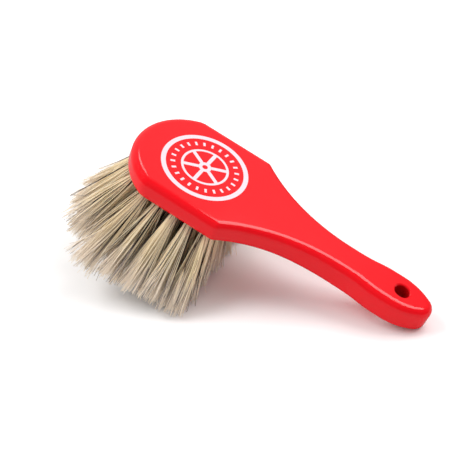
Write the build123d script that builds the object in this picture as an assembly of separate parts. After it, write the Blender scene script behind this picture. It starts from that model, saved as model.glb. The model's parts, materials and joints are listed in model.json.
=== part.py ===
from build123d import *
import math
import os

# Wheel brush with a one-piece moulded block and stapled bristle tufts.
# All lengths in millimetres, angles in degrees.
#
# The brush is drawn in its own frame: X runs from the nose (x = 0) to the end
# of the handle, Y across the head, Z square to the bristle face (z = 0) with
# the block above it and the bristles below. The last section lays the whole
# brush down the way it rests on a table: on the trimmed tips of its rearmost
# bristles and on the rounded underside of the handle's end.

# --- block, plan view -------------------------------------------------------
HEAD_LENGTH = 82.0        # nose to the rear corners of the head
HEAD_WIDTH = 82.0
NOSE_DEPTH = 27.0         # nose to the front corners, where the nose arc ends
FRONT_CORNER_ROUND = 12.0
REAR_CORNER_ROUND = 5.0
SHOULDER_LENGTH = 77.0    # hollow arc from a rear corner to the neck
NECK_WIDTH = 26.2
NECK_LENGTH = 8.0         # straight stretch where the handle is narrowest
SWELL_LENGTH = 25.0       # neck to grip, an S of two like arcs
GRIP_WIDTH = 30.8
GRIP_LENGTH = 6.0         # how far the grip keeps that width
END_LENGTH = 27.0         # grip to the handle's end
END_RADIUS = 10.0         # round tip of the end

# --- block, side view -------------------------------------------------------
HEAD_THICKNESS = 16.3
GRIP_THICKNESS = 19.5
BELLY_DISTANCE = 4.0      # rear corners of the head to where the handle starts to thicken
BELLY_LENGTH = 84.0       # S of two like arcs that takes the underside down to the grip
EDGE_ROUND = 5.2          # rounding of every outer edge

# --- hanging hole -----------------------------------------------------------
HANGING_HOLE_DIAMETER = 10.2
HANGING_HOLE_INSET = 23.3     # hole centre to the handle's end
HANGING_HOLE_RIM_BEVEL = 1.0

# --- tuft holes and tufts ---------------------------------------------------
TUFT_SIDES = 8            # flats round each hole and each tuft
TUFT_HOLE_WIDTH = 5.4     # across two flats
TUFT_HOLE_DEPTH = 11.5    # along the slanted axis
TUFT_CLEARANCE = 0.08     # between the folded hair and the wall of its hole
ROW_COUNT = 7             # lengthwise rows
TUFT_PITCH = 11.0         # along a row
FACE_LAND = 0.4           # flat left between an outer hole and the edge round
REAR_MARGIN = 8.0         # rearmost hole centres to the head's rear corners
SIDE_SPLAY = 29.5         # outward lean of the outer rows
NOSE_SPLAY = 29.0         # forward lean of the foremost tuft
FAN_DISTANCE = 59.0       # nose to the place where the tufts stand upright
TRIM_HEIGHT = 51.0        # bristle face to the plane the tips are cut to
TIP_GAP = 1.6             # left between the splayed tips of two tufts
MOUTH_LEVEL = 0.3         # how far below the bristle face the splay begins

# --- wire anchors -----------------------------------------------------------
ANCHOR_THICKNESS = 0.5
ANCHOR_HEIGHT = 1.8       # along the hole's axis
ANCHOR_CLEARANCE = 0.02   # between each end and the wall of the hole
ANCHOR_FOLD = 1.6         # hair folded between the anchor and the hole's end

NECK_X = HEAD_LENGTH + SHOULDER_LENGTH
SWELL_X = NECK_X + NECK_LENGTH
GRIP_X = SWELL_X + SWELL_LENGTH
END_X = GRIP_X + GRIP_LENGTH
OVERALL_LENGTH = END_X + END_LENGTH
NOSE_RADIUS = (NOSE_DEPTH**2 + (HEAD_WIDTH / 2) ** 2) / (2 * NOSE_DEPTH)
OUTWARD = (Align.CENTER, Align.CENTER, Align.MIN)


# --- block ------------------------------------------------------------------
def s_curve(start, end):
    """Two like arcs that leave start and reach end along X."""
    middle = ((start[0] + end[0]) / 2, (start[1] + end[1]) / 2)
    TangentArc(start, middle, tangent=(1, 0))
    TangentArc(end, middle, tangent=(-1, 0))


def end_arcs():
    """Radius of the arcs from the grip to the round tip, and how far round they go."""
    half_grip = GRIP_WIDTH / 2
    reach = END_LENGTH - END_RADIUS
    flank = (reach**2 + half_grip**2 - END_RADIUS**2) / (2 * (half_grip - END_RADIUS))
    return flank, math.degrees(math.asin(reach / (flank - END_RADIUS)))


def block_plan():
    """Outline seen from above: nose arc, straight sides, hollow shoulders, grip."""
    half_head = HEAD_WIDTH / 2
    half_neck = NECK_WIDTH / 2
    half_grip = GRIP_WIDTH / 2
    flank, turn = end_arcs()
    with BuildSketch(Plane.XY.offset(-2 * GRIP_THICKNESS)) as sketch:
        with BuildLine():
            Line((NOSE_DEPTH, half_head), (HEAD_LENGTH, half_head))
            TangentArc((NECK_X, half_neck), (HEAD_LENGTH, half_head), tangent=(-1, 0))
            Line((NECK_X, half_neck), (SWELL_X, half_neck))
            s_curve((SWELL_X, half_neck), (GRIP_X, half_grip))
            Line((GRIP_X, half_grip), (END_X, half_grip))
            CenterArc((END_X, half_grip - flank), flank, 90, -turn)
            mirror(about=Plane.XZ)
            CenterArc((OVERALL_LENGTH - END_RADIUS, 0), END_RADIUS, turn - 90, 180 - 2 * turn)
            ThreePointArc((NOSE_DEPTH, -half_head), (0, 0), (NOSE_DEPTH, half_head))
        make_face()
    return sketch.sketch


def block_side():
    """Outline seen from the side: flat back, and a grip thicker than the head."""
    belly = (HEAD_LENGTH + BELLY_DISTANCE, 0)
    grip = (belly[0] + BELLY_LENGTH, HEAD_THICKNESS - GRIP_THICKNESS)
    past_end = OVERALL_LENGTH + HEAD_WIDTH
    with BuildSketch(Plane.XZ.offset(-HEAD_WIDTH)) as sketch:
        with BuildLine():
            s_curve(belly, grip)
            Polyline(
                grip,
                (past_end, grip[1]),
                (past_end, HEAD_THICKNESS),
                (-HEAD_WIDTH, HEAD_THICKNESS),
                (-HEAD_WIDTH, 0),
                belly,
            )
        make_face()
    return sketch.sketch


def is_upright(edge):
    size = edge.bounding_box().size
    return size.X < EDGE_ROUND and size.Z > HEAD_THICKNESS / 2


def is_across(edge):
    """A seam where the flat underside and the arcs of the belly run into each other."""
    return edge.geom_type == GeomType.LINE and edge.bounding_box().size.X < 0.01


def moulded_block():
    """Plan and side outlines crossed, with every edge rounded."""
    plan = extrude(block_plan(), 4 * GRIP_THICKNESS)
    for corner_x, radius in ((NOSE_DEPTH, FRONT_CORNER_ROUND), (HEAD_LENGTH, REAR_CORNER_ROUND)):
        corners = plan.edges().filter_by(Axis.Z)
        plan = fillet([e for e in corners if abs(e.center().X - corner_x) < 0.01], radius)
    side = extrude(block_side(), 2 * HEAD_WIDTH)
    block = plan & side
    rim = [e for e in block.edges() if not is_upright(e) and not is_across(e)]
    return fillet(rim, EDGE_ROUND)


def hanging_hole(block):
    """Bore through the handle's end, with bevelled rims."""
    x = OVERALL_LENGTH - HANGING_HOLE_INSET
    block -= Pos(x, 0, 0) * Cylinder(HANGING_HOLE_DIAMETER / 2, 4 * GRIP_THICKNESS)
    rims = []
    for edge in block.edges():
        reach = edge.bounding_box()
        if abs(reach.size.Y - HANGING_HOLE_DIAMETER) < 0.01 and abs(reach.center().X - x) < 0.01:
            rims.append(edge)
    return chamfer(rims, HANGING_HOLE_RIM_BEVEL)


# --- layout of the tufts ----------------------------------------------------
def corner_radius(width):
    """Middle to corner of a regular outline with that width across two flats."""
    return width / 2 / math.cos(math.pi / TUFT_SIDES)


def corners(width):
    """Corners of that outline; a flat lies across the X axis."""
    points = []
    for side in range(TUFT_SIDES):
        angle = 2 * math.pi * (side + 0.5) / TUFT_SIDES
        radius = corner_radius(width)
        points.append((radius * math.cos(angle), radius * math.sin(angle)))
    return points


def tuft_layout():
    """Rows of (root, lean, reach) for every tuft.

    The root is the centre of a hole's mouth on the bristle face. The lean is
    how far the tuft travels along X and Y for each millimetre that it goes
    down; it grows evenly from the middle of the fan to its edges. The reach is
    half the width of the splayed tip, so that neighbours in a row stay apart.
    """
    side_lean = math.tan(math.radians(SIDE_SPLAY))
    nose_lean = math.tan(math.radians(NOSE_SPLAY))
    mouth_reach = corner_radius(TUFT_HOLE_WIDTH) / math.cos(math.radians(SIDE_SPLAY))
    margin = EDGE_ROUND + FACE_LAND + mouth_reach
    outer_y = HEAD_WIDTH / 2 - margin
    rear_x = HEAD_LENGTH - REAR_MARGIN
    lean_rate = nose_lean / (FAN_DISTANCE - margin)
    rows = []
    for row in range(ROW_COUNT):
        y = outer_y * (2 * row / (ROW_COUNT - 1) - 1)
        front_x = NOSE_RADIUS - math.sqrt((NOSE_RADIUS - margin) ** 2 - y**2)
        gaps = max(1, round((rear_x - front_x) / TUFT_PITCH))
        pitch = (rear_x - front_x) / gaps
        reach = pitch * (1 + lean_rate * TRIM_HEIGHT) / 2 - TIP_GAP / 2
        tufts = []
        for place in range(gaps + 1):
            x = front_x + pitch * place
            lean = (lean_rate * (x - FAN_DISTANCE), side_lean * y / outer_y)
            tufts.append(((x, y), lean, reach))
        rows.append(tufts)
    return rows


def hole_plane(root, lean):
    """Plane across the hole at its mouth, with Z pointing out of the block."""
    outward = Vector(lean[0], lean[1], -1).normalized()
    return Plane(origin=(*root, 0), x_dir=outward.cross(Vector(0, 1, 0)), z_dir=outward)


def flat_face(points):
    return Face(Wire(Polyline(*points, close=True)))


def on_axis(plane, height_in_hole, shape):
    """Shape set on the hole's axis, that far out from the closed end of the hole."""
    return plane.location * Pos(0, 0, height_in_hole - TUFT_HOLE_DEPTH) * shape


def tuft_hole(plane):
    """Blind hole with a flat end, sunk along its slanted axis."""
    section = flat_face([(x, y, 0) for x, y in corners(TUFT_HOLE_WIDTH)])
    return on_axis(plane, 0, extrude(section, TUFT_HOLE_DEPTH + TUFT_HOLE_WIDTH))


def wire_anchor(plane):
    """Flat piece of wire across the hole, with the hair folded under it."""
    length = TUFT_HOLE_WIDTH - 2 * ANCHOR_CLEARANCE
    wire = Box(length, ANCHOR_THICKNESS, ANCHOR_HEIGHT, align=OUTWARD)
    return on_axis(plane, ANCHOR_FOLD, wire)


# --- tufts ------------------------------------------------------------------
def tuft(root, lean, reach, plane):
    """Bundle of bristles: straight in its hole, then splayed to the trim plane.

    Its sides are flat. Level sections through it all have one outline, which
    only grows from the mouth of the hole to the tip.
    """
    width = TUFT_HOLE_WIDTH - 2 * TUFT_CLEARANCE
    drop = Vector(*lean, -1)
    mouth_centre = Vector(*root, 0) + drop * MOUTH_LEVEL
    tip_centre = Vector(*root, 0) + drop * TRIM_HEIGHT
    folded = []
    mouth = []
    for corner in corners(width):
        folded.append(plane.from_local_coords(Vector(*corner, -TUFT_HOLE_DEPTH)))
        mouth.append(folded[-1] + drop * (folded[-1].Z + MOUTH_LEVEL))
    splay = reach / (max(point.X for point in mouth) - mouth_centre.X)
    tips = [tip_centre + (point - mouth_centre) * splay for point in mouth]
    faces = [flat_face(folded), flat_face(tips)]
    for upper, lower in ((folded, mouth), (mouth, tips)):
        for side in range(TUFT_SIDES):
            faces.append(flat_face([upper[side - 1], upper[side], lower[side], lower[side - 1]]))
    return Solid(Shell(faces)) - wire_anchor(plane)


# --- whole brush ------------------------------------------------------------
def brush():
    """Every piece by its name, in the brush's own frame."""
    pieces = {}
    holes = []
    anchors = []
    for row, tufts in enumerate(tuft_layout(), start=1):
        for place, (root, lean, reach) in enumerate(tufts, start=1):
            plane = hole_plane(root, lean)
            holes.append(tuft_hole(plane))
            anchors.append(wire_anchor(plane))
            pieces[f"tuft_row{row}_{place}"] = tuft(root, lean, reach, plane)
    pieces["handle_block"] = hanging_hole(moulded_block()) - holes
    pieces["tuft_anchors"] = Compound(anchors)
    return pieces


def rest_tilt(pieces):
    """Angle at which the rearmost tips and the handle's end share one level.

    The handle's end is rounded by EDGE_ROUND about a pivot; the line that
    touches both that round and the tips is the table.
    """
    tufts = [piece for name, piece in pieces.items() if name.startswith("tuft_row")]
    last_tip = max(piece.bounding_box().max.X for piece in tufts)
    run = OVERALL_LENGTH - EDGE_ROUND - last_tip
    rise = HEAD_THICKNESS - GRIP_THICKNESS + EDGE_ROUND + TRIM_HEIGHT
    return math.degrees(math.atan2(rise, run) - math.asin(EDGE_ROUND / math.hypot(run, rise)))


def lay_down(pieces):
    """Tilt the brush to its rest and put the origin under the middle of its box."""
    tilt = rest_tilt(pieces)
    tilted = {name: Rot(0, tilt, 0) * piece for name, piece in pieces.items()}
    box = Compound(list(tilted.values())).bounding_box()
    middle = box.center()
    shift = Pos(-middle.X, -middle.Y, -box.min.Z)
    return {name: shift * piece for name, piece in tilted.items()}


os.makedirs("parts", exist_ok=True)
for name, piece in lay_down(brush()).items():
    export_step(piece, f"parts/{name}.step")
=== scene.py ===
"""Looks of a wheel brush: glossy moulded block, printed roundel, splayed tufts of natural bristle.

Everything is in metres, in the row frame. Places on the brush are given in its head frame, whose
origin is the middle of the flat back, with X towards the handle, Y across and Z out of the back.
"""

import json
import math

import bpy
import numpy as np
from mathutils import Matrix, Vector


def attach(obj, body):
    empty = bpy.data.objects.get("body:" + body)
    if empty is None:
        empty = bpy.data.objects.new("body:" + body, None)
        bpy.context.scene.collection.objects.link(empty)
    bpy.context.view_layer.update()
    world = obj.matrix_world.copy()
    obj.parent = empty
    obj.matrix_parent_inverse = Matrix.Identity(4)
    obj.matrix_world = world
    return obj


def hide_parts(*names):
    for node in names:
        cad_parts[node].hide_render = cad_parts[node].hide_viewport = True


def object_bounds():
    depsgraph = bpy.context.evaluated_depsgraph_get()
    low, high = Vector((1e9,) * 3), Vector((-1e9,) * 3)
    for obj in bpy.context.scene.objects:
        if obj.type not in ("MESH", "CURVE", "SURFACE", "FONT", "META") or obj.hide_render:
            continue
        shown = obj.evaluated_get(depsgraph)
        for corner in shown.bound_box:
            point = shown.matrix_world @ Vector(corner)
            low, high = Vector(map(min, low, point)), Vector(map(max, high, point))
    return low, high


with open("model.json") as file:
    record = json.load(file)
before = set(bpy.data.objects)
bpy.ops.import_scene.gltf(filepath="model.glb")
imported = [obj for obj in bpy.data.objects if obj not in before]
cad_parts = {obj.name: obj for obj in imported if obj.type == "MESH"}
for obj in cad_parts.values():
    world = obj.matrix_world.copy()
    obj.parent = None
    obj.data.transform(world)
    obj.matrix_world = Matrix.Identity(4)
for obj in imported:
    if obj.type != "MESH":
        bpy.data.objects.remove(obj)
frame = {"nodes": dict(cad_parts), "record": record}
cad_low, cad_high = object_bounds()
MOUNTS = {mount["name"]: mount for mount in frame["record"]["mounts"]}

MM = 0.001

# --- camera: angles in degrees, azimuth from -Y towards +X ------------------
CAMERA_AZIMUTH = 26.06
CAMERA_ELEVATION = 37.31
CAMERA_ROLL = 0.38
CAMERA_DISTANCE = 737.7 * MM
CAMERA_LENS = 84.73           # for a sensor of this width
CAMERA_SENSOR = 36.0
AIM = Vector((-2.6, -14.5, 40.0)) * MM       # what it is turned to

# --- light ------------------------------------------------------------------
AMBIENT = 0.54                # soft light from all round
AMBIENT_TINT = (1.0, 0.965, 0.965)
BACKDROP = 0.55               # the sweep behind and to the left, as gloss reflects it
DARK_ROOM = 0.05              # and the room above and behind the camera
SWEEP_SIDE = Vector((-0.35, 0.90, -0.25)).normalized()
SWEEP_EDGE = (-0.25, 0.5)     # cosines to that side where the sweep starts and where it is full
DIM_SIDE = Vector((0.87, 0.18, -0.46)).normalized()        # towards this side the sweep dims
DIM_EDGE = (0.0, 0.13)        # between these cosines
DIMMED = 0.35                 # to this share
KEY_AZIMUTH = 290.0
KEY_ELEVATION = 45.0
KEY_DISTANCE = 1.1
KEY_SIZE = (0.7, 0.7)
KEY_LEVEL = 0.66              # what the key adds to a white surface that faces it
TOP_PLACE = Vector((0.38, 0.33, 0.70))       # softbox above, to the right and behind
TOP_SIZE = (0.54, 0.54)
TOP_GLEAM = 4.2               # brightness of its face
STRIP_PLACE = Vector((-0.155, 0.35, 0.70))   # narrow one over the nose
STRIP_SIZE = (0.16, 0.18)
STRIP_GLEAM = 4.5
FLOOR_SEEN = 1.0              # how white the camera sees the floor
FLOOR_GLOSS = 0.35            # how bright gloss shows it
FLOOR_REACH = 4.0             # from its middle to each side

# --- block ------------------------------------------------------------------
HEAD_THICKNESS = 16.3 * MM
RED = (0.89, 0.006, 0.013)
DEEPER_RED = 0.93             # share of it where the plastic is a little deeper in colour
# painted shade: the wall of the hanging hole is painted this darker red in place of the shade
# inside it
HOLE_SHADE_RED = (0.50, 0.002, 0.004)
HOLE_BORE = 5.2 * MM          # radius within which the hanging hole's wall is painted darker, as painted shade
HOLE_RIM = 0.5 * MM           # and how much further out that painted shade fades out

# --- printed roundel --------------------------------------------------------
PRINT_CENTRE_X = 8.8 * MM     # in the head frame
PRINT_THICKNESS = 0.03 * MM
PRINT_SINK = 0.02 * MM        # into the block
INK_THIN = (0.83, 0.65, 0.71)                # where the most red shows through
INK_FULL = (0.89, 0.74, 0.80)
RING_RADIUS = 30.1 * MM
RING_WIDTH = 3.3 * MM
TICK_RADIUS = 23.6 * MM
TICK_LENGTH = 3.2 * MM
TICK_WIDTH = 1.6 * MM
TICK_COUNT = 24
RIM_RADIUS = 16.5 * MM
RIM_WIDTH = 1.7 * MM
HUB_RADIUS = 4.4 * MM
HUB_HOLE_RADIUS = 1.9 * MM
SPOKE_COUNT = 6
SPOKE_WIDTH = 2.6 * MM
ARC_STEP = math.radians(3)    # arcs are cut into steps of this at most
SEAM = 1e-9                   # a band whose ends lie this close is a whole ring

# --- bristles: places and bends ---------------------------------------------
# A tuft parts into locks, and these into wisps. Where nothing else is said, an amount here is the
# standard deviation from one strand, wisp or lock to the next.
SEED = 7
STRANDS = 240                 # per tuft
LOCKS = 7                     # groups that part from each other towards the tips
WISPS = 54                    # smaller groups of one tone
MOUTH_BAND = (0.1 * MM, 1.0 * MM)            # below the face, where a CAD tuft has its mouth ring
TIP_BAND = 0.05 * MM          # how far its tips lie from its lowest one at most
HOLE_RADIUS = 2.55 * MM
ROOT_DEPTH = 3.0 * MM         # how far into the block the modelled hair starts
ROOT_FILL = 0.9               # share of the hole's radius that it takes there
TIP_SPREAD = 1.3              # hair tips reach past the outline of the CAD tuft
SPREAD_POWER = 1.2            # above 1, the hair leaves its hole close together
WISP_CLUMPING = 0.60          # how far the hair of a wisp draws together at the tip
WISP_FLARE = 0.5              # how far it opens again at the very tip
FLARE_POWER = 6               # the higher, the nearer to the tip that happens
LOCK_CLUMPING = 0.30          # how far the wisps of a lock draw together
GOLDEN = 3 - math.sqrt(5)     # golden angle in half turns, which spreads places evenly
ANY_TURN = (0, 6.3)           # range of angles by which such a pattern is turned
STRAND_JITTER = 0.03          # unevenness of places in the hole, as shares of its radius
LOCK_JITTER = 0.10
WISP_JITTER = 0.04
LOCK_DRIFT = 0.10             # unevenness of places at the tips, as shares of the tuft's radius
WISP_DRIFT = 0.07
STRAND_BOW = 0.3 * MM         # how far hair bows sideways in the middle
LOCK_BOW = 0.5 * MM
WISP_BOW = 0.4 * MM
STRAND_FLICK = 0.8 * MM       # how far it turns aside at the tip
WISP_FLICK = 1.1 * MM
FLICK_POWER = 3               # the higher, the nearer to the tip again
STRAYS = 0.06                 # share of hair that bends STRAY_BEND times as much
STRAY_BEND = 5
LOCK_LENGTHS = 0.02           # as shares of the tuft's length
WISP_LENGTHS = 0.02
STRAND_LENGTHS = 0.015
SHORT_STRANDS = 0.1           # share of hair that is shorter, by a share in the next range
SHORTER_BY = (0.03, 0.2)
LENGTH_LIMITS = (0.75, 1.06)
FLOOR_GAP = 0.25 * MM         # hair keeps at least this far from the table
FLOOR_GAP_VARIES = 0.5 * MM   # and up to this much farther

# How far combing pushes the tips over, in the head frame. In between, the push fades out.
FRONT_COMBED = np.array((0, -4.0, 0)) * MM   # foremost tufts
NEAR_COMBED = np.array((4.0, -7.0, 0)) * MM  # and foremost tuft of the nearest row, on top of that
FAR_COMBED = np.array((5.0, -9.0, -4.0)) * MM              # and of the farthest row
REAR_COMBED = np.array((-2.5, -9.0, 0)) * MM               # hindmost tuft of the middle row
FAR_START = -0.5              # place across the head, from -1 to 1, where the far push starts

# --- bristles: thickness ----------------------------------------------------
STRAND_RADIUS = 0.33 * MM
TIP_RADIUS = 0.13 * MM
THICKNESSES = (0.75, 1.2)     # range of shares of those radii
STRAND_SIDES = 4              # so that the caps are quads, as the sides are
STATIONS = np.array((0, 0.12, 0.28, 0.46, 0.64, 0.8, 0.92, 1))   # rings from the mouth to the tip
ALONG = np.array((0, *STATIONS))             # the same with the ring at the root before them

# --- bristles: tone, from 0 for cream to 1 for black ------------------------
OUTSIDE = 0.7                 # share of a tuft's radius beyond which its hair is on the outside
WISP_KINDS = (                # lowest and highest tone, share of outside wisps and of inside ones
    (0.0, 0.15, 0.78, 0.88),
    (0.22, 0.40, 0.08, 0.12),
    (0.5, 0.7, 0.04, 0.0),
    (0.92, 1.0, 0.10, 0.0),
)
LOCK_TONES = 0.05             # standard deviation from lock to lock
DARK_LOCKS = 0.12             # share of locks that are darker by DARKER_BY instead
DARKER_BY = 0.36
STRAND_TONES = 0.11           # standard deviation from strand to strand
CREAM_STRANDS = 0.12          # share of strands with a tone in the next range
CREAM_TONES = (0, 0.3)
BLACK_STRANDS = 0.12          # and, on the outside of a tuft, in this one: partly the hair's own black, partly painted shade, dark lines for the shadow between wisps
BLACK_TONES = (0.8, 1.0)
HAIR_COLOURS = (
    (0.0, (1.0, 0.885, 0.63)),
    (0.3, (0.99, 0.81, 0.49)),
    (0.55, (0.60, 0.46, 0.29)),
    (0.78, (0.13, 0.085, 0.065)),
    (1.0, (0.012, 0.008, 0.009)),
)
ROOT_PAINTED_SHADE = (                 # painted shade: what the hair's colour is multiplied by, along its length, darker at the roots
    (0.0, (0.4, 0.35, 0.33)),
    (0.08, (0.8, 0.78, 0.76)),
    (0.2, (1, 1, 1)),
)
STREAKS = ((0.3, (0.97, 0.955, 0.94)), (0.7, (1, 1, 1)))   # and by fine noise
FLAGGED_TIP = (1.0, 0.89, 0.81)              # colour of the split, frayed ends
SHEEN_TINT = (1.0, 0.87, 0.62)

# --- bristles: map for baking -----------------------------------------------
UV_ROWS = 4                   # rows of cells, with one strand's strip in each cell
CELL_FILL = (0.84, 0.94)      # share of its cell that a strip takes
CELL_MARGIN = (0.08, 0.03)
CAP_SPAN = (0.4, 0.6)         # where the end caps lie across the strip
CAP_DEPTH = 0.02              # how far they reach along it


def towards(azimuth, elevation):
    """Unit vector that points from the object to azimuth 0 at -Y, turning towards +X."""
    a, e = math.radians(azimuth), math.radians(elevation)
    return Vector((math.sin(a) * math.cos(e), -math.cos(a) * math.cos(e), math.sin(e)))


def head_frame():
    """Matrix that takes a place in the head frame to the row frame."""
    back = MOUNTS["flat_back"]
    up = Vector(back["axis"]).normalized()
    across = Vector((0, 1, 0))
    turn = Matrix((across.cross(up), across, up)).transposed().to_4x4()
    return Matrix.Translation(Vector(back["pos_m"])) @ turn


HEAD = head_frame()


# --- node helpers -----------------------------------------------------------
def new_material(name):
    """An empty Principled material: its tree and its shader node."""
    material = bpy.data.materials.new(name)
    material.use_nodes = True
    return material, material.node_tree, material.node_tree.nodes["Principled BSDF"]


def add_node(tree, kind, **inputs):
    """A new node with its inputs set; an underscore in a name stands for a space."""
    node = tree.nodes.new(kind)
    for name, value in inputs.items():
        node.inputs[name.replace("_", " ")].default_value = value
    return node


def noise(tree, scale, detail, roughness=0.5):
    """Noise factor over the object's own coordinates."""
    coordinates = tree.nodes.new("ShaderNodeTexCoord")
    texture = add_node(tree, "ShaderNodeTexNoise", Scale=scale, Detail=detail, Roughness=roughness)
    tree.links.new(coordinates.outputs["Object"], texture.inputs["Vector"])
    return texture.outputs["Fac"]


def ramp(tree, factor, stops):
    """Colour ramp with (position, colour) stops."""
    node = tree.nodes.new("ShaderNodeValToRGB")
    elements = node.color_ramp.elements
    while len(elements) < len(stops):
        elements.new(0.5)
    for element, (position, colour) in zip(elements, stops):
        element.position = position
        element.color = (*colour, 1.0)
    tree.links.new(factor, node.inputs["Fac"])
    return node.outputs["Color"]


def mapped(tree, factor, low, high, start=0.0, end=1.0):
    """Factor that runs from start to end turned into a value from low to high."""
    node = add_node(
        tree, "ShaderNodeMapRange", From_Min=start, From_Max=end, To_Min=low, To_Max=high
    )
    tree.links.new(factor, node.inputs["Value"])
    return node.outputs["Result"]


def mixed(tree, factor, first, second, blend="MIX"):
    """Mix of two colours, each a socket or a constant."""
    node = tree.nodes.new("ShaderNodeMix")
    node.data_type = "RGBA"
    node.blend_type = blend
    for name, value in (("Factor", factor), ("A", first), ("B", second)):
        socket = next(s for s in node.inputs if s.name == name and s.enabled)
        if isinstance(value, bpy.types.NodeSocket):
            tree.links.new(value, socket)
        elif name == "Factor":
            socket.default_value = value
        else:
            socket.default_value = (*value, 1.0)
    return next(s for s in node.outputs if s.enabled)


def attribute(tree, name):
    """Value of a mesh attribute."""
    node = tree.nodes.new("ShaderNodeAttribute")
    node.attribute_name = name
    return node.outputs["Fac"]


def bumped(tree, shader, height, strength, distance):
    """Gives a shader a bump of that height."""
    node = add_node(tree, "ShaderNodeBump", Strength=strength, Distance=distance)
    tree.links.new(height, node.inputs["Height"])
    tree.links.new(node.outputs["Normal"], shader.inputs["Normal"])


def vector_maths(tree, operation, first, second=None):
    """Node for an operation on a socket's vector and, where it takes one, a constant vector."""
    node = tree.nodes.new("ShaderNodeVectorMath")
    node.operation = operation
    tree.links.new(first, node.inputs[0])
    if second is not None:
        node.inputs[1].default_value = second
    return node


def hole_shade_mask(tree):
    """1 on the wall of the hanging hole, where shade is painted, 0 from the outer edge of its rim.
    """
    hole = MOUNTS["hanging_hole"]
    place = tree.nodes.new("ShaderNodeTexCoord").outputs["Object"]
    from_hole = vector_maths(tree, "SUBTRACT", place, hole["pos_m"])
    off_axis = vector_maths(tree, "CROSS_PRODUCT", from_hole.outputs["Vector"], hole["axis"])
    distance = vector_maths(tree, "LENGTH", off_axis.outputs["Vector"]).outputs["Value"]
    return mapped(tree, distance, 1.0, 0.0, HOLE_BORE, HOLE_BORE + HOLE_RIM)


# --- materials --------------------------------------------------------------
def red_plastic():
    """Glossy moulded plastic: a little uneven in colour, faintly smudged, hardly wavy, with
    painted shade in the hanging hole.
    """
    material, tree, shader = new_material("red_plastic")
    deeper = tuple(DEEPER_RED * c for c in RED)
    body = ramp(tree, noise(tree, scale=22, detail=2), [(0.3, deeper), (0.7, RED)])
    # painted shade: darker red on the wall of the hanging hole
    body = mixed(tree, hole_shade_mask(tree), body, HOLE_SHADE_RED)
    tree.links.new(body, shader.inputs["Base Color"])
    smudges = mapped(tree, noise(tree, scale=60, detail=5, roughness=0.65), 0.07, 0.15)
    tree.links.new(smudges, shader.inputs["Roughness"])
    shader.inputs["IOR"].default_value = 1.5
    bumped(tree, shader, noise(tree, scale=150, detail=1), strength=0.03, distance=0.4 * MM)
    return material


def white_print():
    """Pad-printed ink, thin enough to let a trace of the red through."""
    material, tree, shader = new_material("white_print")
    mottle = noise(tree, scale=900, detail=3, roughness=0.6)
    ink = ramp(tree, mottle, [(0.25, INK_THIN), (0.7, INK_FULL)])
    tree.links.new(ink, shader.inputs["Base Color"])
    tree.links.new(mapped(tree, mottle, 0.28, 0.4), shader.inputs["Roughness"])
    bumped(tree, shader, mottle, strength=0.1, distance=0.02 * MM)
    return material


def bristle_hair():
    """Natural hair: each strand has its tone, from cream to black, a paler, frayed tip and painted
    shade towards its root.
    """
    material, tree, shader = new_material("bristle_hair")
    tone = attribute(tree, "tone")
    along = attribute(tree, "along")
    body = ramp(tree, tone, HAIR_COLOURS)
    # painted shade: the hair's colour darkens towards its roots
    body = mixed(tree, 1.0, body, ramp(tree, along, ROOT_PAINTED_SHADE), "MULTIPLY")
    paler = tree.nodes.new("ShaderNodeMath")
    paler.operation = "MULTIPLY"
    tree.links.new(mapped(tree, along, 0.0, 0.95, 0.5, 0.88), paler.inputs[0])
    tree.links.new(mapped(tree, tone, 1.0, 0.3, 0.5, 0.9), paler.inputs[1])
    body = mixed(tree, paler.outputs["Value"], body, FLAGGED_TIP)
    grain = noise(tree, scale=700, detail=2, roughness=0.6)
    body = mixed(tree, 1.0, body, ramp(tree, grain, STREAKS), "MULTIPLY")
    tree.links.new(body, shader.inputs["Base Color"])
    shader.inputs["Roughness"].default_value = 0.42
    tree.links.new(mapped(tree, tone, 0.6, 0.15, 0.5, 0.9), shader.inputs["Specular IOR Level"])
    tree.links.new(mapped(tree, tone, 1.0, 0.05, 0.4, 0.85), shader.inputs["Sheen Weight"])
    shader.inputs["Sheen Roughness"].default_value = 0.9
    shader.inputs["Sheen Tint"].default_value = (*SHEEN_TINT, 1.0)
    return material


def drawn_wire():
    """Flat staple wire with fine lengthwise drawing marks."""
    material, tree, shader = new_material("drawn_wire")
    marks = noise(tree, scale=2500, detail=4, roughness=0.6)
    steel = ramp(tree, marks, [(0.3, (0.42, 0.42, 0.44)), (0.7, (0.62, 0.62, 0.64))])
    tree.links.new(steel, shader.inputs["Base Color"])
    shader.inputs["Metallic"].default_value = 1.0
    tree.links.new(mapped(tree, marks, 0.25, 0.45), shader.inputs["Roughness"])
    return material


def pale_floor():
    """White sweep that throws less light back, and less into gloss, than the camera sees."""
    material = bpy.data.materials.new("pale_floor")
    material.use_nodes = True
    tree = material.node_tree
    tree.nodes.remove(tree.nodes["Principled BSDF"])
    shader = tree.nodes.new("ShaderNodeBsdfDiffuse")
    seen = tree.nodes.new("ShaderNodeLightPath")
    mottle = noise(tree, scale=9, detail=3)
    grain = ramp(tree, mottle, [(0.3, (0.89, 0.89, 0.90)), (0.7, (0.92, 0.92, 0.93))])
    colour = mixed(tree, seen.outputs["Is Glossy Ray"], grain, (FLOOR_GLOSS,) * 3)
    colour = mixed(tree, seen.outputs["Is Camera Ray"], colour, (FLOOR_SEEN,) * 3)
    tree.links.new(colour, shader.inputs["Color"])
    tree.links.new(shader.outputs["BSDF"], tree.nodes["Material Output"].inputs["Surface"])
    return material


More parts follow.
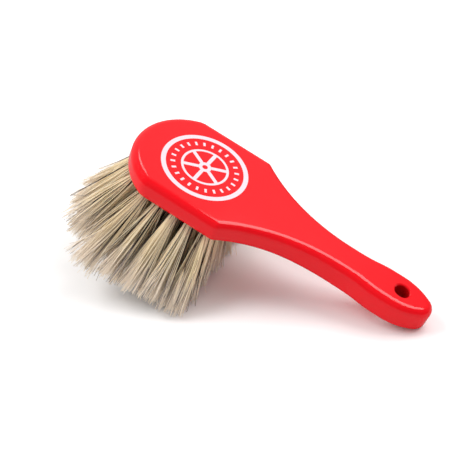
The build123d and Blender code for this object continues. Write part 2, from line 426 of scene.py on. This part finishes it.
# --- scene ------------------------------------------------------------------
def make_camera():
    """Camera of the photograph, aimed at a point just in front of the block."""
    data = bpy.data.cameras.new("camera")
    data.lens = CAMERA_LENS
    data.sensor_width = CAMERA_SENSOR
    camera = bpy.data.objects.new("camera", data)
    back = towards(CAMERA_AZIMUTH, CAMERA_ELEVATION)
    camera.rotation_mode = "QUATERNION"
    upright = (-back).to_track_quat("-Z", "Y")
    roll = Matrix.Rotation(math.radians(CAMERA_ROLL), 3, "Z").to_quaternion()
    camera.rotation_quaternion = upright @ roll
    camera.location = AIM + back * CAMERA_DISTANCE
    bpy.context.scene.collection.objects.link(camera)
    bpy.context.scene.camera = camera


def add_lamp(name, size, brightness):
    """Rectangular area lamp; brightness is that of its face."""
    data = bpy.data.lights.new(name, "AREA")
    data.shape = "RECTANGLE"
    data.size, data.size_y = size
    data.energy = brightness * math.pi * size[0] * size[1]
    lamp = bpy.data.objects.new(name, data)
    bpy.context.scene.collection.objects.link(lamp)
    return lamp


def key_light():
    """Big soft lamp to the left of the camera, too dull to gleam in the gloss."""
    thinning = math.pi * KEY_DISTANCE**2 / (KEY_SIZE[0] * KEY_SIZE[1])
    lamp = add_lamp("key", KEY_SIZE, KEY_LEVEL * thinning)
    aim = towards(KEY_AZIMUTH, KEY_ELEVATION)
    lamp.location = (cad_low + cad_high) / 2 + aim * KEY_DISTANCE
    lamp.rotation_mode = "QUATERNION"
    lamp.rotation_quaternion = aim.to_track_quat("Z", "Y")
    lamp.visible_glossy = False


def softbox(name, place, size, brightness):
    """Level lamp that faces down."""
    add_lamp(name, size, brightness).location = place


def facing(tree, side):
    """How far a direction in the world points to a side."""
    direction = tree.nodes.new("ShaderNodeTexCoord").outputs["Generated"]
    return vector_maths(tree, "DOT_PRODUCT", direction, side).outputs["Value"]


def make_world():
    """White to the camera, a dark room with a pale sweep to gloss, and even light to the rest."""
    world = bpy.data.worlds.new("studio")
    world.use_nodes = True
    bpy.context.scene.world = world
    tree = world.node_tree
    share = mapped(tree, facing(tree, SWEEP_SIDE), 0.0, 1.0, *SWEEP_EDGE)
    room = ramp(tree, share, [(0.0, (DARK_ROOM,) * 3), (1.0, (BACKDROP,) * 3)])
    dimming = mapped(tree, facing(tree, DIM_SIDE), 1.0, DIMMED, *DIM_EDGE)
    room = mixed(tree, 1.0, room, dimming, "MULTIPLY")
    seen = tree.nodes.new("ShaderNodeLightPath")
    ambient = tuple(AMBIENT * c for c in AMBIENT_TINT)
    light = mixed(tree, seen.outputs["Is Glossy Ray"], ambient, room)
    shown = mixed(tree, seen.outputs["Is Camera Ray"], light, (1.0, 1.0, 1.0))
    tree.links.new(shown, tree.nodes["Background"].inputs["Color"])


def make_floor():
    """Level sweep under the brush."""
    mesh = bpy.data.meshes.new("floor")
    signs = ((-1, -1), (1, -1), (1, 1), (-1, 1))
    corners = [(x * FLOOR_REACH, y * FLOOR_REACH, 0) for x, y in signs]
    mesh.from_pydata(corners, [], [(0, 1, 2, 3)])
    floor = bpy.data.objects.new("floor", mesh)
    mesh.materials.append(pale_floor())
    bpy.context.scene.collection.objects.link(floor)


def add_piece(name, vertices, faces, material, smooth):
    """A mesh object that rides on the brush, with its finish."""
    mesh = bpy.data.meshes.new(name)
    mesh.from_pydata(vertices, [], faces)
    mesh.materials.append(material)
    mesh.polygons.foreach_set("use_smooth", [smooth] * len(mesh.polygons))
    mesh.update()
    piece = bpy.data.objects.new(name, mesh)
    bpy.context.scene.collection.objects.link(piece)
    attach(piece, "root")
    return piece


# --- printed roundel --------------------------------------------------------
def circle(radius):
    """Points round the roundel's middle, with the first one again at the end."""
    steps = math.ceil(2 * math.pi / ARC_STEP)
    angles = [2 * math.pi * step / steps for step in range(steps + 1)]
    return [(radius * math.cos(angle), radius * math.sin(angle)) for angle in angles]


def band(outer, inner):
    """Outer and inner edge of a ring, matched point by point."""
    return circle(outer), circle(inner)


def bar(inner, outer, width, angle):
    """The two long edges of a radial bar."""
    along = (math.cos(angle), math.sin(angle))
    edges = []
    for side in (1, -1):
        shift = (-along[1] * side * width / 2, along[0] * side * width / 2)
        edges.append([(r * along[0] + shift[0], r * along[1] + shift[1]) for r in (inner, outer)])
    return edges


def inked(strip, vertices, faces):
    """Adds the thin slab between a strip's two edges, with end walls unless it is a ring."""
    first, second = strip
    base = len(vertices)
    count = len(first)
    for level in (PRINT_THICKNESS, -PRINT_SINK):
        for edge in (first, second):
            for x, y in edge:
                vertices.append(HEAD @ Vector((PRINT_CENTRE_X + x, y, level)))
    top_a, top_b, low_a, low_b = (base + count * k for k in range(4))
    for k in range(count - 1):
        faces.append((top_a + k, top_a + k + 1, top_b + k + 1, top_b + k))
        faces.append((low_b + k, low_b + k + 1, low_a + k + 1, low_a + k))
        faces.append((low_a + k, low_a + k + 1, top_a + k + 1, top_a + k))
        faces.append((top_b + k, top_b + k + 1, low_b + k + 1, low_b + k))
    if math.dist(first[0], first[-1]) > SEAM:
        last = count - 1
        faces.append((low_a, top_a, top_b, low_b))
        faces.append((low_b + last, top_b + last, top_a + last, low_a + last))


def make_roundel():
    """Plain ring round a dial of ticks and a spoked wheel, all in one flat print."""
    strips = [
        band(RING_RADIUS, RING_RADIUS - RING_WIDTH),
        band(RIM_RADIUS, RIM_RADIUS - RIM_WIDTH),
        band(HUB_RADIUS, HUB_HOLE_RADIUS),
    ]
    for tick in range(TICK_COUNT):
        angle = 2 * math.pi * tick / TICK_COUNT
        strips.append(bar(TICK_RADIUS - TICK_LENGTH, TICK_RADIUS, TICK_WIDTH, angle))
    for spoke in range(SPOKE_COUNT):
        angle = 2 * math.pi * (spoke + 0.5) / SPOKE_COUNT
        strips.append(bar(HUB_RADIUS, RIM_RADIUS - RIM_WIDTH, SPOKE_WIDTH, angle))
    vertices, faces = [], []
    for strip in strips:
        inked(strip, vertices, faces)
    add_piece("printed_roundel", vertices, faces, white_print(), smooth=False)


# --- bristles ---------------------------------------------------------------
def moved(points, matrix):
    """Points, as the last axis of an array, moved by a 4x4 matrix."""
    matrix = np.array(matrix)
    return points @ matrix[:3, :3].T + matrix[:3, 3]


def tuft_axis(node):
    """Mouth centre, tip centre and tip reach of a CAD tuft, in the head frame."""
    mesh = frame["nodes"][node].data
    points = moved(np.array([v.co for v in mesh.vertices]), HEAD.inverted())
    height = points[:, 2]
    tips = points[height < height.min() + TIP_BAND]
    below_face = -HEAD_THICKNESS - height
    mouth = points[(below_face > MOUTH_BAND[0]) & (below_face < MOUTH_BAND[1])]
    reach = (tips[:, 0].max() - tips[:, 0].min()) / 2
    return (mouth.max(0) + mouth.min(0)) / 2, (tips.max(0) + tips.min(0)) / 2, reach


def scattered(rng, count, jitter):
    """Places over the unit disc, spread as seeds lie in a sunflower and then each a little off."""
    k = np.arange(count) + 0.5
    angle = k * math.pi * GOLDEN + rng.uniform(*ANY_TURN)
    places = np.sqrt(k / count)[:, None] * np.c_[np.cos(angle), np.sin(angle)]
    return places + rng.normal(0, jitter, (count, 2))


def nearest(points, centres):
    """Number of the centre that lies nearest to each point."""
    return np.argmin(((points[:, None] - centres[None]) ** 2).sum(2), axis=1)


def bends(rng, lock, wisp):
    """How far each strand bows in the middle, and how far it turns aside at its tip."""
    more = np.where(rng.random(STRANDS) < STRAYS, STRAY_BEND, 1)[:, None]
    bow = rng.normal(0, STRAND_BOW, (STRANDS, 2)) * more
    bow += rng.normal(0, LOCK_BOW, (LOCKS, 2))[lock] + rng.normal(0, WISP_BOW, (WISPS, 2))[wisp]
    flick = rng.normal(0, STRAND_FLICK, (STRANDS, 2)) * more
    flick += rng.normal(0, WISP_FLICK, (WISPS, 2))[wisp]
    return bow, flick


def lengths(rng, lock, wisp):
    """Length of each strand, as a share of the tuft's."""
    long = 1 + rng.normal(0, LOCK_LENGTHS, LOCKS)[lock] + rng.normal(0, WISP_LENGTHS, WISPS)[wisp]
    long += rng.normal(0, STRAND_LENGTHS, STRANDS)
    short = rng.random(STRANDS) < SHORT_STRANDS
    long -= np.where(short, rng.uniform(*SHORTER_BY, STRANDS), 0)
    return np.clip(long, *LENGTH_LIMITS)


def wisp_tones(rng, wisps, lock_of_wisp):
    """Tone of each wisp: cream and straw, and on the outside of the tuft some brown and black."""
    low, high, outside_share, inside_share = np.array(WISP_KINDS).T
    outside = rng.choice(len(WISP_KINDS), WISPS, p=outside_share)
    inside = rng.choice(len(WISP_KINDS), WISPS, p=inside_share)
    kind = np.where(np.linalg.norm(wisps, axis=1) > OUTSIDE, outside, inside)
    dark = rng.random(LOCKS) < DARK_LOCKS
    shade = np.where(dark, DARKER_BY, rng.normal(0, LOCK_TONES, LOCKS))
    return rng.uniform(low[kind], high[kind]) + shade[lock_of_wisp]


def strand_tones(rng, roots, wisps, wisp, lock_of_wisp):
    """Tone of each strand: its wisp's, a little off, or one of its own."""
    tones = wisp_tones(rng, wisps, lock_of_wisp)[wisp] + rng.normal(0, STRAND_TONES, STRANDS)
    odd = rng.random(STRANDS)
    tones = np.where(odd < CREAM_STRANDS, rng.uniform(*CREAM_TONES, STRANDS), tones)
    # partly real black hair, partly painted shade: dark strands on the outside stand for the
    # shadow lines between wisps
    black = (odd > 1 - BLACK_STRANDS) & (np.linalg.norm(roots, axis=1) > OUTSIDE)
    tones = np.where(black, rng.uniform(*BLACK_TONES, STRANDS), tones)
    return np.clip(tones, 0, 1)


def spread(across, side, other):
    """Offsets in space from pairs of offsets to two sides."""
    return across[:, :1] * side + across[:, 1:] * other


def strands_of(rng, mouth, tip, reach):
    """Hair centre lines (strand, ring, xyz) in the head frame, and each strand's tone."""
    axis = tip - mouth
    length = np.linalg.norm(axis)
    forward = axis / length
    side = np.cross(forward, (0.0, 1.0, 0.0))
    side /= np.linalg.norm(side)
    other = np.cross(forward, side)

    roots = scattered(rng, STRANDS, STRAND_JITTER)
    locks = scattered(rng, LOCKS, LOCK_JITTER)
    wisps = scattered(rng, WISPS, WISP_JITTER)
    lock_of_wisp = nearest(wisps, locks)
    wisp = nearest(roots, wisps)
    lock = lock_of_wisp[wisp]
    drift = rng.normal(0, LOCK_DRIFT, (LOCKS, 2))
    ends = wisps[wisp] + rng.normal(0, WISP_DRIFT, (WISPS, 2))[wisp]
    ends += (locks[lock] - wisps[wisp]) * LOCK_CLUMPING + drift[lock]
    ends *= reach * TIP_SPREAD
    apart = (roots - wisps[wisp]) * reach * TIP_SPREAD
    gathered = wisps[wisp] + (roots - wisps[wisp]) * (1 - WISP_CLUMPING)
    bow, flick = bends(rng, lock, wisp)
    long = lengths(rng, lock, wisp)

    paths = np.zeros((STRANDS, len(ALONG), 3))
    rooted = spread(gathered * HOLE_RADIUS * ROOT_FILL, side, other)
    paths[:, 0] = mouth - forward * ROOT_DEPTH + rooted
    for ring, share in enumerate(STATIONS, start=1):
        spreading = share**SPREAD_POWER
        across = gathered * HOLE_RADIUS * (1 - spreading) + ends * spreading
        across = across + apart * (1 - WISP_CLUMPING) * spreading
        across = across + apart * WISP_FLARE * share**FLARE_POWER
        across = across + bow * math.sin(math.pi * share) + flick * share**FLICK_POWER
        paths[:, ring] = mouth + forward * (length * share * long)[:, None]
        paths[:, ring] += spread(across, side, other)
    return paths, strand_tones(rng, roots, wisps, wisp, lock_of_wisp)


def tube_faces(rings):
    """Quads of one closed tube whose vertices are numbered ring by ring: sides, then caps."""
    faces = []
    for ring in range(rings - 1):
        here, ahead = ring * STRAND_SIDES, (ring + 1) * STRAND_SIDES
        for corner in range(STRAND_SIDES):
            after = (corner + 1) % STRAND_SIDES
            faces.append((here + corner, here + after, ahead + after, ahead + corner))
    last = (rings - 1) * STRAND_SIDES
    faces.append(tuple(range(STRAND_SIDES))[::-1])
    faces.append(tuple(range(last, last + STRAND_SIDES)))
    return np.array(faces)


def tubes(paths, rng):
    """Vertices (strand, ring, corner, xyz) and quads of closed tapering tubes along the paths."""
    strands, rings, _ = paths.shape
    heading = np.gradient(paths, axis=1)
    heading /= np.linalg.norm(heading, axis=2, keepdims=True)
    aside = rng.normal(0, 1, (strands, 1, 3))
    first = np.cross(heading, aside)
    first /= np.linalg.norm(first, axis=2, keepdims=True)
    second = np.cross(heading, first)
    thickness = rng.uniform(*THICKNESSES, strands)
    radii = STRAND_RADIUS + (TIP_RADIUS - STRAND_RADIUS) * ALONG**2
    vertices = np.zeros((strands, rings, STRAND_SIDES, 3))
    for corner in range(STRAND_SIDES):
        angle = 2 * math.pi * corner / STRAND_SIDES
        out = first * math.cos(angle) + second * math.sin(angle)
        vertices[:, :, corner] = paths + out * radii[None, :, None] * thickness[:, None, None]
    jumps = np.arange(strands)[:, None, None] * rings * STRAND_SIDES
    faces = (tube_faces(rings)[None] + jumps).reshape(-1, STRAND_SIDES)
    return vertices, faces


def bake_strips(mesh, strands, rings):
    """One upright strip of the map for each strand, so that baking keeps its colours."""
    strip = []
    for ring in range(rings - 1):
        low, high = ring / (rings - 1), (ring + 1) / (rings - 1)
        for corner in range(STRAND_SIDES):
            left, right = corner / STRAND_SIDES, (corner + 1) / STRAND_SIDES
            strip += [(left, low), (right, low), (right, high), (left, high)]
    left, right = CAP_SPAN
    for end, inner in ((0, CAP_DEPTH), (1, 1 - CAP_DEPTH)):
        strip += [(left, end), (right, end), (right, inner), (left, inner)]
    strip = np.array(strip) * CELL_FILL + CELL_MARGIN
    columns = math.ceil(strands / UV_ROWS)
    order = np.arange(strands)
    cells = np.c_[order % columns, order // columns]
    uvs = (strip[None] + cells[:, None]) / (columns, UV_ROWS)
    layer = mesh.uv_layers.new(name="OFBake")
    layer.data.foreach_set("uv", uvs.ravel())


def point_attribute(mesh, name, values):
    """Sets a number at every vertex, for the material to read."""
    mesh.attributes.new(name, "FLOAT", "POINT").data.foreach_set("value", values.ravel())


def make_tuft(axis, name, rng, material):
    """Hair along the mouth, tip and reach of a tuft."""
    paths, tones = strands_of(rng, *axis)
    paths = moved(paths, HEAD)
    strands, rings, _ = paths.shape
    lowest = FLOOR_GAP + rng.uniform(0, FLOOR_GAP_VARIES, (strands, 1))
    paths[:, :, 2] = np.maximum(paths[:, :, 2], lowest)
    vertices, faces = tubes(paths, rng)
    points = vertices.reshape(-1, 3).tolist()
    piece = add_piece(name, points, faces.tolist(), material, smooth=True)
    per_vertex = np.ones((strands, rings, STRAND_SIDES))
    point_attribute(piece.data, "tone", per_vertex * tones[:, None, None])
    point_attribute(piece.data, "along", per_vertex * ALONG[None, :, None])
    bake_strips(piece.data, strands, rings)
    return piece


def combed(axis, low, high):
    """The same tuft with its tip pushed over, by where it stands between the outermost mouths."""
    mouth, tip, reach = axis
    forward = (high[0] - mouth[0]) / (high[0] - low[0])
    across = mouth[1] / high[1]
    push = FRONT_COMBED * forward
    push = push + NEAR_COMBED * forward * max(0, -across) ** 2
    push = push + FAR_COMBED * forward**2 * max(0, (across - FAR_START) / (1 - FAR_START))
    push = push + REAR_COMBED * (1 - forward) * (1 - across**2)
    return mouth, tip + push, reach


def make_bristles():
    """Hair in place of each CAD tuft, in the order of their names."""
    rng = np.random.default_rng(SEED)
    material = bristle_hair()
    nodes = sorted(n for n in frame["nodes"] if n.startswith("tuft_row"))
    axes = [tuft_axis(node) for node in nodes]
    mouths = np.array([mouth for mouth, _, _ in axes])
    low, high = mouths.min(0), mouths.max(0)
    for node, axis in zip(nodes, axes):
        name = node.replace("tuft", "bristles")
        piece = make_tuft(combed(axis, low, high), name, rng, material)
        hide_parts(node)


def finish_cad_nodes():
    """Materials of the CAD pieces that show as they are."""
    for node, material in (("handle_block", red_plastic()), ("tuft_anchors", drawn_wire())):
        mesh = frame["nodes"][node].data
        mesh.materials.clear()
        mesh.materials.append(material)


bpy.context.scene.view_settings.view_transform = "Standard"
make_camera()
make_world()
key_light()
softbox("top", TOP_PLACE, TOP_SIZE, TOP_GLEAM)
softbox("strip", STRIP_PLACE, STRIP_SIZE, STRIP_GLEAM)
make_floor()
finish_cad_nodes()
make_roundel()
make_bristles()
